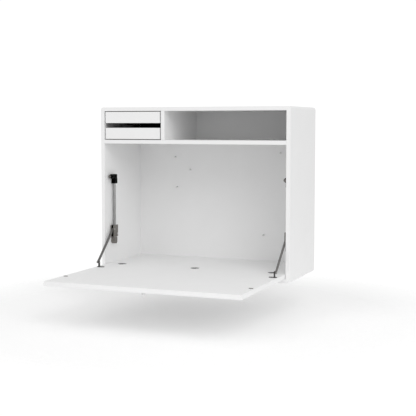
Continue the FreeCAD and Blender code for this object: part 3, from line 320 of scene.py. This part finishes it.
def stained_tray():
    """Black stained birch ply, closed with a matt oil."""
    material, tree, shader, where = start_material("black_stained_ply")
    wood = place(tree, "wood", Vector=where, Stretch=(1.0, 0.06, 1.0), Scale=90.0)
    dust = place(tree, "dust", Vector=where, Amount=0.25)
    body = blend_colours(tree, wood["Grain"], grey(0.006, 0.05), grey(0.014, 0.08))
    pored = blend_colours(tree, wood["Pores"], body, grey(0.003))
    feed(tree, blend_colours(tree, dust["Mask"], pored, grey(0.05, 0.05)), shader["Base Color"])
    feed(tree, spread(tree, wood["Grain"], 0.0, 1.0, 0.55, 0.72), shader["Roughness"])
    shader["Specular IOR Level"].default_value = 0.25
    bump(tree, shader, wood["Pores"], -0.00008, 0.5)
    return material


def beech():
    """Plain turned beech, grain along the dowel."""
    material, tree, shader, where = start_material("turned_beech")
    wood = place(tree, "wood", Vector=where, Stretch=(0.12, 1.0, 1.0), Scale=260.0)
    body = blend_colours(tree, wood["Grain"], (0.66, 0.45, 0.27, 1), (0.52, 0.32, 0.17, 1))
    feed(tree, blend_colours(tree, wood["Pores"], body, (0.33, 0.19, 0.10, 1)),
         shader["Base Color"])
    feed(tree, spread(tree, wood["Grain"], 0.0, 1.0, 0.5, 0.68), shader["Roughness"])
    bump(tree, shader, wood["Pores"], -0.00005, 0.5)
    return material


def plastic(name, tone, rough, cells, gloss=0.5, worn=1.4, depth=0.00004, dusty=0.2):
    """Moulded plastic with an eroded skin and slightly polished arrises."""
    material, tree, shader, where = start_material(name)
    skin = place(tree, "skin", Vector=where, Cell__Scale=cells)
    wear = place(tree, "wear", Vector=where, Width=0.0006, Breakup__Scale=300.0)
    dust = place(tree, "dust", Vector=where, Scale=30.0, Amount=dusty)
    body = blend_colours(tree, skin["Drift"], grey(tone), grey(tone * 0.86))
    rubbed = blend_colours(tree, wear["Mask"], body, grey(min(tone * worn + 0.002, 0.95)))
    feed(tree, blend_colours(tree, dust["Mask"], rubbed, grey(tone * 0.9 + 0.03, 0.03)),
         shader["Base Color"])
    polished = maths(tree, "MULTIPLY", wear["Line"], -0.12)
    base = spread(tree, skin["Drift"], 0.0, 1.0, rough, rough + 0.08)
    feed(tree, maths(tree, "ADD", base, polished, clamp=True), shader["Roughness"])
    shader["Specular IOR Level"].default_value = gloss
    bump(tree, shader, skin["Height"], depth, 0.4)
    return material


def metal(name, tone, rough, stretch, warm=0.0, scale=900.0, contrast=0.16, dull=0.75,
          depth=0.00002):
    """Drawn or brushed metal; stretch sets the direction of the hairlines."""
    material, tree, shader, where = start_material(name)
    lines = place(tree, "hairlines", Vector=where, Stretch=stretch, Scale=scale)
    wear = place(tree, "wear", Vector=where, Width=0.0005, Breakup__Scale=400.0)
    stain = noise(tree, where, 45.0, 4.0, 0.6)
    clean = blend_colours(tree, lines["Value"], grey(tone * (1 + contrast / 2), warm),
                          grey(tone * (1 - contrast), warm))
    tarnished = blend_colours(tree, spread(tree, stain, 0.5, 0.75, 0.0, 0.5), clean,
                              grey(tone * dull, warm + 0.01))
    feed(tree, blend_colours(tree, wear["Mask"], tarnished, grey(min(tone * 1.5, 0.9), warm)),
         shader["Base Color"])
    shader["Metallic"].default_value = 1.0
    feed(tree, spread(tree, lines["Value"], 0.0, 1.0, rough, rough + 0.12), shader["Roughness"])
    bump(tree, shader, lines["Height"], depth, 0.6)
    return material


def turned_metal(name, tone, rough, centre, pitch, warm=0.0, contrast=0.2):
    """Metal faced on a lathe about an upright axis."""
    material, tree, shader, where = start_material(name)
    rings = place(tree, "rings", Vector=where, Centre=centre, Pitch=pitch)
    wear = place(tree, "wear", Vector=where, Width=0.0005, Breakup__Scale=400.0)
    stain = noise(tree, where, 80.0, 4.0, 0.6)
    clean = blend_colours(tree, rings["Value"], grey(tone, warm),
                          grey(tone * (1 - contrast), warm))
    dulled = blend_colours(tree, spread(tree, stain, 0.45, 0.75, 0.0, 0.6), clean,
                           grey(tone * 0.7, warm))
    feed(tree, blend_colours(tree, wear["Mask"], dulled, grey(min(tone * 1.6, 0.9), warm)),
         shader["Base Color"])
    shader["Metallic"].default_value = 1.0
    feed(tree, spread(tree, rings["Value"], 0.0, 1.0, rough, rough + 0.1), shader["Roughness"])
    bump(tree, shader, rings["Height"], 0.00002, 0.5)
    return material


def middle_of(node):
    low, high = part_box(node)
    return tuple((a + b) / 2 for a, b in zip(low, high))


ALONG_X, ALONG_Z = (0.04, 1.0, 1.0), (1.0, 1.0, 0.04)
FINISH = {
    "white_lacquer": lacquer(),
    "black_lacquer": stained_tray(),
    "beech": beech(),
    "black_plastic": plastic("black_moulded_nylon", 0.0012, 0.42, 1500.0, 0.03, 1.5, 0.00004,
                             0.02),
    "grey_plastic": plastic("grey_moulded_runner", 0.24, 0.42, 1300.0),
    "white_plastic": plastic("white_gloss_plastic", 0.80, 0.16, 900.0, 0.6, 1.02, 0.00001),
    "zinc_steel": metal("bright_zinc", 0.52, 0.26, ALONG_Z, 0.02),
    "nickel_metal": metal("satin_nickel", 0.10, 0.34, ALONG_X, 0.03),
    "dark_metal": metal("dark_nickel_steel", 0.23, 0.30, ALONG_Z, 0.06),
    "arm_steel": metal("drawn_arm_steel", 0.20, 0.34, ALONG_Z, 0.02),
    "satin_rod": metal("satin_chrome_rod", 0.36, 0.24, ALONG_Z, 0.0, 1200.0),
    "knob_metal": turned_metal("satin_aluminium", 0.90, 0.45, middle_of("flap_knob"), 0.0005,
                               0.0, 0.08),
}

# ------------------------------------------------------------------ meshes taken from the frame

TINY = 1e-5
JOIN_WITHIN, FLAT_WITHIN = 2e-6, math.radians(0.6)
FOLD_ANGLE, SHARP_ANGLE = 40.0, 35.0
X, Y, Z = range(3)
SPOTS = ("left", "right")


def paint(piece, material):
    piece.data.materials.clear()
    piece.data.materials.append(material)


def outfit(piece, node, material=None):
    """Stand a finished piece in for its CAD node."""
    slot = SLOT_OF[node]
    paint(piece, material or FINISH[slot])
    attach(piece, BODY_OF[node])
    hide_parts(node)


def object_from(bm, name):
    mesh = bpy.data.meshes.new(name)
    bm.normal_update()
    bm.to_mesh(mesh)
    bm.free()
    piece = bpy.data.objects.new(name, mesh)
    bpy.context.scene.collection.objects.link(piece)
    return piece


def clean_copy(node):
    """The node's own shape with joined points and whole flat faces."""
    bm = bmesh.new()
    bm.from_mesh(NODES[node].data)
    bmesh.ops.remove_doubles(bm, verts=bm.verts, dist=JOIN_WITHIN)
    bmesh.ops.dissolve_limit(bm, angle_limit=FLAT_WITHIN, verts=bm.verts,
                             edges=bm.edges, use_dissolve_boundaries=False)
    return bm


def apply_modifiers(piece):
    """Keep the evaluated mesh and drop the modifiers that made it."""
    deps = bpy.context.evaluated_depsgraph_get()
    deps.update()
    mesh = bpy.data.meshes.new_from_object(piece.evaluated_get(deps))
    old = piece.data
    piece.modifiers.clear()
    piece.data = mesh
    bpy.data.meshes.remove(old)
    mesh.name = piece.name


def shade(piece, angle=SHARP_ANGLE):
    """Smooth faces with sharp arrises kept."""
    mesh = piece.data
    mesh.shade_smooth()
    mesh.set_sharp_from_angle(angle=math.radians(angle))


def weigh_edges(bm, fold, share_of):
    """Give each folded edge its share of the bevel's width."""
    weight = bm.edges.layers.float.new("bevel_weight_edge")
    for edge in bm.edges:
        if len(edge.link_faces) == 2 and edge.calc_face_angle(0.0) > math.radians(fold):
            edge[weight] = share_of(edge)


def add_bevel(piece, width, segments):
    """Bevel by edge weight, held back where two bevels would run into each other."""
    ease = piece.modifiers.new("ease", "BEVEL")
    ease.limit_method = "WEIGHT"
    ease.width = width
    ease.segments = segments
    ease.use_clamp_overlap = True
    return ease


def eased(node, width, pick=None, segments=3, material=None):
    """The node's shape with its arrises eased; pick chooses among the folded edges."""
    bm = clean_copy(node)
    weigh_edges(bm, FOLD_ANGLE, lambda edge: 1.0 if pick is None or pick(edge) else 0.0)
    piece = object_from(bm, node + "_eased")
    add_bevel(piece, width, segments).miter_outer = "MITER_ARC"
    shade(piece)
    flat = piece.modifiers.new("flat_faces", "WEIGHTED_NORMAL")
    flat.mode = "FACE_AREA"
    flat.weight = 100
    flat.keep_sharp = True
    apply_modifiers(piece)
    outfit(piece, node, material)


# ------------------------------------------------------------------ boards, flap and trays


def span(edge):
    return edge.verts[1].co - edge.verts[0].co


def at_level(axis, level):
    """Test for edges that lie at one level of an axis."""
    return lambda edge: all(abs(v.co[axis] - level) < TINY for v in edge.verts)


def mitred(edge):
    """Whether an edge runs along a 45 degree joint face of the carcass corners."""
    across = span(edge)
    return abs(across.x) > TINY and abs(abs(across.x) - abs(across.z)) < 2 * TINY


BOARD_EASE, FLAP_EASE, THIN_BOARD_EASE = 0.9 * MM, 1.0 * MM, 0.8 * MM
LONG_EDGE, BACK_EDGE, SHORT_EDGE = 50 * MM, 100 * MM, 2 * MM


def ease_carcass():
    on_front = at_level(Y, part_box("left_side")[0].y)
    for board in ("left_side", "right_side", "top_panel", "bottom_panel"):
        eased(board, BOARD_EASE, lambda edge: on_front(edge) and not mitred(edge))
    for board, along in (("shelf", X), ("divider", Z)):
        eased(board, BOARD_EASE,
              lambda edge: on_front(edge) and abs(span(edge)[along]) > LONG_EDGE)


def ease_flap():
    """Round over the flap's sides and its hinge edge, and the floor's edge that meets it."""
    low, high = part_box("flap")
    left, right, back = at_level(X, low.x), at_level(X, high.x), at_level(Y, high.y)

    def arris(edge):
        run = span(edge)
        beside = (left(edge) or right(edge)) and run.length > SHORT_EDGE
        return beside or (back(edge) and abs(run.x) > BACK_EDGE)

    eased("flap", FLAP_EASE, arris)
    meeting = at_level(Y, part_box("inner_floor")[0].y)
    eased("inner_floor", THIN_BOARD_EASE,
          lambda edge: meeting(edge) and edge.calc_length() > BACK_EDGE)


def ease_trays():
    """Round over the upper rims of the tray boards."""
    for tray in ("lower", "upper"):
        for part in ("left", "right", "back"):
            node = "drawer_%s_%s" % (tray, part)
            eased(node, THIN_BOARD_EASE, at_level(Z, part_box(node)[1].z))


ease_carcass()
ease_flap()
ease_trays()

# ------------------------------------------------------------------ small fittings and hinges

# node: width of the easing in millimetres, segments
FITTINGS = {
    "rod_clips": (2.5, 5),
    "slider_rivets_left": (0.35, 2), "slider_rivets_right": (0.35, 2),
    "stay_foot_pins": (0.4, 2),
    "catch_plates": (0.35, 2), "hanging_plates": (0.5, 2), "drawer_runners": (0.6, 2),
    "flap_knob": (0.5, 3),
}
for node, (width, segments) in FITTINGS.items():
    eased(node, width * MM, None, segments)

HINGE_EASE, FACING_PITCH = 0.3 * MM, 0.35 * MM


def face_hinge(spot):
    """Both halves of a round flush hinge, faced on a lathe about their shared middle."""
    low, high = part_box("hinge_base_" + spot)
    front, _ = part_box("hinge_cup_" + spot)
    middle = ((low.x + high.x) / 2, (front.y + high.y) / 2, high.z)
    faced = turned_metal("faced_nickel_" + spot, 0.075, 0.32, middle, FACING_PITCH, 0.03)
    for half in ("hinge_cup_", "hinge_base_"):
        eased(half + spot, HINGE_EASE, None, 2, faced)


for spot in ("left", "centre", "right"):
    face_hinge(spot)

# ------------------------------------------------------------------ turned parts


def islands(node):
    """The separate solids of a node, each as its lowest and highest corner and its points."""
    bm = clean_copy(node)
    left = set(bm.verts)
    found = []
    while left:
        stack = [left.pop()]
        seen = [stack[0].co.copy()]
        while stack:
            for edge in stack.pop().link_edges:
                for vert in edge.verts:
                    if vert in left:
                        left.remove(vert)
                        stack.append(vert)
                        seen.append(vert.co.copy())
        low = Vector(min(p[i] for p in seen) for i in range(3))
        high = Vector(max(p[i] for p in seen) for i in range(3))
        found.append((low, high, seen))
    bm.free()
    found.sort(key=lambda item: tuple(round(v, 5) for v in item[0]))
    return found


def lathe(bm, profile, matrix, steps=48):
    """Turn a profile of (radius, height) about the matrix's own Z; zero radius closes it."""
    angles = [math.tau * i / steps for i in range(steps)]
    rings = []
    for radius, height in profile:
        if radius == 0:
            points = [Vector((0, 0, height))]
        else:
            points = [Vector((radius * math.cos(a), radius * math.sin(a), height))
                      for a in angles]
        rings.append([bm.verts.new(matrix @ point) for point in points])
    for lower, upper in zip(rings, rings[1:]):
        for i in range(steps):
            j = (i + 1) % steps
            face = []
            for vert in (lower[i % len(lower)], lower[j % len(lower)],
                         upper[j % len(upper)], upper[i % len(upper)]):
                if vert not in face:
                    face.append(vert)
            bm.faces.new(face)
    return rings


def standing(centre, direction):
    """Matrix whose Z points along the direction from the centre."""
    turn = Vector(direction).to_track_quat("Z", "Y").to_matrix().to_4x4()
    return Matrix.Translation(centre) @ turn


def quarter(steps):
    """Angles from 0 to 90 degrees, in so many steps."""
    return [math.pi / 2 * i / steps for i in range(steps + 1)]


def rounded_end(radius, height, easing, upward=True):
    """Profile points of a flat end with an eased arris."""
    sign = 1 if upward else -1
    points = [(radius - easing * (1 - math.cos(a)), height - sign * easing * (1 - math.sin(a)))
              for a in quarter(4)]
    return points if upward else points[::-1]


def finish_lathe(bm, name, node, angle=SHARP_ANGLE):
    bmesh.ops.recalc_face_normals(bm, faces=bm.faces)
    piece = object_from(bm, name)
    shade(piece, angle)
    outfit(piece, node)


ROD_EASE = 0.6 * MM


def turn_rods():
    """Guide rods with eased ends."""
    bm = bmesh.new()
    for low, high, _ in islands("stay_rods"):
        radius, length = (high.x - low.x) / 2, high.z - low.z
        base = Vector(((low.x + high.x) / 2, (low.y + high.y) / 2, low.z))
        profile = [(0, 0)] + rounded_end(radius, 0, ROD_EASE, False)
        profile += rounded_end(radius, length, ROD_EASE) + [(0, length)]
        lathe(bm, profile, standing(base, (0, 0, 1)))
    finish_lathe(bm, "stay_rods_turned", "stay_rods")


PEG_WAIST, PEG_TENON = 0.93, 0.55                 # shares of the peg's radius
NECK_BEHIND_DOME, FLARE_START, FLARE_END = 1 * MM, 1.6 * MM, 1.2 * MM


def turn_pegs():
    """Pegs with a domed end, a plain shaft, a small foot on the back sheet and a tenon in it."""
    bm = bmesh.new()
    sheet_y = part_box("back_panel")[0].y
    for low, high, _ in islands("pegs"):
        radius = (high.x - low.x) / 2
        tip = Vector(((low.x + high.x) / 2, low.y, (low.z + high.z) / 2))
        length, whole = sheet_y - low.y, high.y - low.y
        waist, tenon = radius * PEG_WAIST, radius * PEG_TENON
        dome = [(radius * math.sin(a), radius * (1 - math.cos(a))) for a in quarter(8)]
        shaft = [(waist, radius + NECK_BEHIND_DOME), (waist, length - FLARE_START),
                 (radius, length - FLARE_END), (radius, length), (tenon, length),
                 (tenon, whole), (0, whole)]
        lathe(bm, dome + shaft, standing(tip, (0, 1, 0)), 32)
    finish_lathe(bm, "pegs_turned", "pegs")


turn_rods()
turn_pegs()

HEAD_R, SHANK_R, HEAD_DEEP = 3.0 * MM, 1.5 * MM, 1.6 * MM
POINT_R, POINT_LENGTH, TAPER_LENGTH = 0.35 * SHANK_R, 0.4 * MM, 3 * MM
RIM_DEEP, RIM_IN = 0.15 * MM, 0.1 * MM
RECESS_HALF, RECESS_REACH, RECESS_DEEP = 0.42 * MM, 1.75 * MM, 1.2 * MM
RECESS_TAPER = 0.72                               # the recess's floor against its mouth
END_BAND = 0.2 * MM
QUARTER_TURNS = ((1, 0), (0, 1), (-1, 0), (0, -1))    # cosine and sine of each


def screw_mesh(bm, matrix, length):
    """Countersunk screw with a cross recess; Z points out of the head."""
    rings = lathe(bm, [(0, -length), (POINT_R, -length + POINT_LENGTH),
                       (SHANK_R, -length + TAPER_LENGTH), (SHANK_R, -HEAD_DEEP),
                       (HEAD_R, -RIM_DEEP), (HEAD_R - RIM_IN, 0)], matrix, 24)
    arm = ((RECESS_HALF, RECESS_HALF), (RECESS_HALF, RECESS_REACH),
           (-RECESS_HALF, RECESS_REACH))
    cross = [(x * c - y * s, x * s + y * c) for c, s in QUARTER_TURNS for x, y in arm]
    mouth = [bm.verts.new(matrix @ Vector((x, y, 0))) for x, y in cross]
    depth = [bm.verts.new(matrix @ Vector((x * RECESS_TAPER, y * RECESS_TAPER, -RECESS_DEEP)))
             for x, y in cross]
    edges = []
    for loop in (rings[-1], mouth):
        for one, two in zip(loop, loop[1:] + loop[:1]):
            edges.append(bm.edges.get((one, two)) or bm.edges.new((one, two)))
    bmesh.ops.triangle_fill(bm, edges=edges, use_beauty=True)
    for i in range(len(cross)):
        j = (i + 1) % len(cross)
        bm.faces.new((mouth[i], mouth[j], depth[j], depth[i]))
    bm.faces.new(depth)


def screws(node):
    """Each solid of the node as a screw whose head is at its wider end."""
    bm = bmesh.new()
    for low, high, points in islands(node):
        size, middle = high - low, (low + high) / 2
        axis = max(range(3), key=lambda i: size[i])

        def widest_at(level):
            """Farthest that the points at one end stand from the long axis."""
            off = [p - middle for p in points if abs(p[axis] - level) < END_BAND]
            return max(math.hypot(*(o[k] for k in range(3) if k != axis)) for o in off)

        up = widest_at(high[axis]) >= widest_at(low[axis])
        face, direction = middle.copy(), Vector()
        face[axis] = high[axis] if up else low[axis]
        direction[axis] = 1 if up else -1
        screw_mesh(bm, standing(face, direction), size[axis])
    finish_lathe(bm, node + "_driven", node, 30.0)


for node in ("hanging_plate_screws", "drawer_runner_screws", "hinge_screws_floor",
             "hinge_screws_flap", "stay_wall_screws", "stay_foot_screws",
             "catch_plate_screws"):
    screws(node)

# ------------------------------------------------------------------ flap stays

SKIN_VOXEL, MELT_SHARE, MELT_ROUNDS = 0.8 * MM, 0.5, 40


def mould_housing(node):
    """Fixed head of a stay: one moulding with melted corners."""
    piece = object_from(clean_copy(node), node + "_moulded")
    skin = piece.modifiers.new("skin", "REMESH")
    skin.mode = "VOXEL"
    skin.voxel_size = SKIN_VOXEL
    melt = piece.modifiers.new("melt", "SMOOTH")
    melt.factor = MELT_SHARE
    melt.iterations = MELT_ROUNDS
    apply_modifiers(piece)
    shade(piece, 60.0)
    outfit(piece, node)


SLIDER_EASE, FAINT_EASE = 4.0 * MM, 0.2           # the second is a share of the first
CHEEK, FRONT_LIP, BEFORE_ROD = 3 * MM, 1 * MM, 6 * MM


def cast_slider(node):
    """Braked slider: casting with eased corners; the faces in the channel down its front are
    painted black as the channel's shade.
    """
    low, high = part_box(node)
    rod_low, rod_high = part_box("stay_rods")
    channel_back = (rod_low.y + rod_high.y) / 2 - BEFORE_ROD

    def share(edge):
        on_cheek = all(min(v.co.x - low.x, high.x - v.co.x) < TINY for v in edge.verts)
        on_end = all(min(v.co.y - low.y, high.y - v.co.y) < TINY for v in edge.verts)
        return 1.0 if on_cheek and on_end else FAINT_EASE

    bm = clean_copy(node)
    weigh_edges(bm, 50.0, share)
    piece = object_from(bm, node + "_cast")
    add_bevel(piece, SLIDER_EASE, 6)
    apply_modifiers(piece)
    shade(piece, 30.0)
    outfit(piece, node)
    # black plastic on the channel faces is painted shade of the recess between the cheeks, not a
    # part of its own
    piece.data.materials.append(FINISH["black_plastic"])
    for face in piece.data.polygons:
        middle = face.center
        within = low.x + CHEEK < middle.x < high.x - CHEEK
        sunk = low.y + FRONT_LIP < middle.y < channel_back
        face.material_index = 1 if within and sunk and middle.z < high.z - TINY else 0


FOOT_EASE, ARM_EASE = 0.35 * MM, 2.6 * MM
FOOT_STEEL = metal("blackened_foot_steel", 0.07, 0.36, ALONG_X, 0.02)
for spot in SPOTS:
    mould_housing("stay_housing_" + spot)
for spot in SPOTS:
    cast_slider("stay_slider_" + spot)
for spot in SPOTS:
    eased("stay_foot_" + spot, FOOT_EASE, None, 2, FOOT_STEEL)
for spot in SPOTS:
    eased("stay_arm_" + spot, ARM_EASE, None, 5)

# the CAD nodes that stay take the finish of their slot
for node, item in NODES.items():
    if not item.hide_render:
        paint(item, FINISH[SLOT_OF[node]])

# ------------------------------------------------------------------ floor, light and camera

FLOOR_DROP, FLOOR_HALF, FLOOR_GLOW, FLOOR_TONE = 0.15, 6.0, 0.08, 0.97
FADE_CENTRE, FADE_FROM, FADE_TO = (0.0, -0.4, 0.0), 0.85, 1.35


def empty_tree(owner):
    owner.use_nodes = True
    owner.node_tree.nodes.clear()
    return owner.node_tree


def lay_floor():
    """Pale floor that fades out round the desk and can't be seen from below."""
    bm = bmesh.new()
    bmesh.ops.create_grid(bm, x_segments=8, y_segments=8, size=FLOOR_HALF)
    floor = object_from(bm, "studio_floor")
    floor.location.z = -FLOOR_DROP
    pale = bpy.data.materials.new("pale_floor")
    tree = empty_tree(pale)
    matt = add(tree, "ShaderNodeBsdfDiffuse")
    matt.inputs["Color"].default_value = grey(FLOOR_TONE)
    glow = add(tree, "ShaderNodeEmission")
    glow.inputs["Strength"].default_value = FLOOR_GLOW
    lit = add(tree, "ShaderNodeAddShader")
    clear = add(tree, "ShaderNodeBsdfTransparent")
    fade = add(tree, "ShaderNodeMixShader")
    end = add(tree, "ShaderNodeOutputMaterial")
    where = add(tree, "ShaderNodeTexCoord").outputs["Object"]
    away = vectors(tree, "LENGTH", vectors(tree, "SUBTRACT", where, FADE_CENTRE))
    under = add(tree, "ShaderNodeNewGeometry").outputs["Backfacing"]
    gone = maths(tree, "MAXIMUM", spread(tree, away, FADE_FROM, FADE_TO), under)
    tree.links.new(matt.outputs[0], lit.inputs[0])
    tree.links.new(glow.outputs[0], lit.inputs[1])
    feed(tree, gone, fade.inputs[0])
    tree.links.new(lit.outputs[0], fade.inputs[1])
    tree.links.new(clear.outputs[0], fade.inputs[2])
    tree.links.new(fade.outputs[0], end.inputs["Surface"])
    floor.data.materials.append(pale)


DOME, BACKDROP = 0.66, 1.05                       # light on the desk, and what the camera sees


def light_dome():
    """White sky, dimmer as a light than as the backdrop that the camera sees."""
    world = bpy.data.worlds.new("studio")
    tree = empty_tree(world)
    mix = add(tree, "ShaderNodeMixShader")
    rays = add(tree, "ShaderNodeLightPath")
    tree.links.new(rays.outputs["Is Camera Ray"], mix.inputs[0])
    for socket, strength in ((1, DOME), (2, BACKDROP)):
        sky = add(tree, "ShaderNodeBackground")
        sky.inputs["Color"].default_value = grey(1.0)
        sky.inputs["Strength"].default_value = strength
        tree.links.new(sky.outputs[0], mix.inputs[socket])
    end = add(tree, "ShaderNodeOutputWorld")
    tree.links.new(mix.outputs[0], end.inputs["Surface"])
    bpy.context.scene.world = world


# name, degrees to the right of the front, degrees up, share of light
LAMPS = (("right_high", 45, 35, 0.24), ("left_high", -35, 35, 0.10),
         ("overhead", 10, 80, 0.06), ("right_low", 55, 8, 0.11))
LAMP_AWAY, LAMP_ACROSS = 6.0, 4.0
AIM = Vector((0.0, -0.3, 0.3))


def softbox(name, turn, rise, share):
    """Round soft light; share is the light it gives a facing white card at the desk."""
    turn, rise = math.radians(turn), math.radians(rise)
    toward = Vector((math.sin(turn) * math.cos(rise), -math.cos(turn) * math.cos(rise),
                     math.sin(rise)))
    data = bpy.data.lights.new(name, "AREA")
    data.shape = "DISK"
    data.size = LAMP_ACROSS
    data.energy = share * math.pi * math.pi * LAMP_AWAY ** 2
    lamp = bpy.data.objects.new(name, data)
    lamp.location = AIM + toward * LAMP_AWAY
    lamp.rotation_mode = "QUATERNION"
    lamp.rotation_quaternion = toward.to_track_quat("Z", "Y")
    bpy.context.scene.collection.objects.link(lamp)


CAMERA_AT = (1.51418, -3.91516, 0.61370)
YAW, PITCH = 0.385075, 0.0831185
FOCAL_LENGTH, SENSOR_WIDTH = 83.624, 36.0         # millimetres
SHIFT_X, SHIFT_Y = -0.00035, -0.00515
FARTHEST = 200.0


def set_camera():
    lens = bpy.data.cameras.new("front_view")
    lens.lens = FOCAL_LENGTH
    lens.sensor_width = SENSOR_WIDTH
    lens.shift_x = SHIFT_X
    lens.shift_y = SHIFT_Y
    lens.clip_end = FARTHEST
    camera = bpy.data.objects.new("front_view", lens)
    camera.location = CAMERA_AT
    camera.rotation_euler = (math.pi / 2 - PITCH, 0.0, YAW)
    bpy.context.scene.collection.objects.link(camera)
    bpy.context.scene.camera = camera


lay_floor()
light_dome()
for lamp in LAMPS:
    softbox(*lamp)
set_camera()

view = bpy.context.scene.view_settings
view.view_transform = "Standard"
view.look = "None"
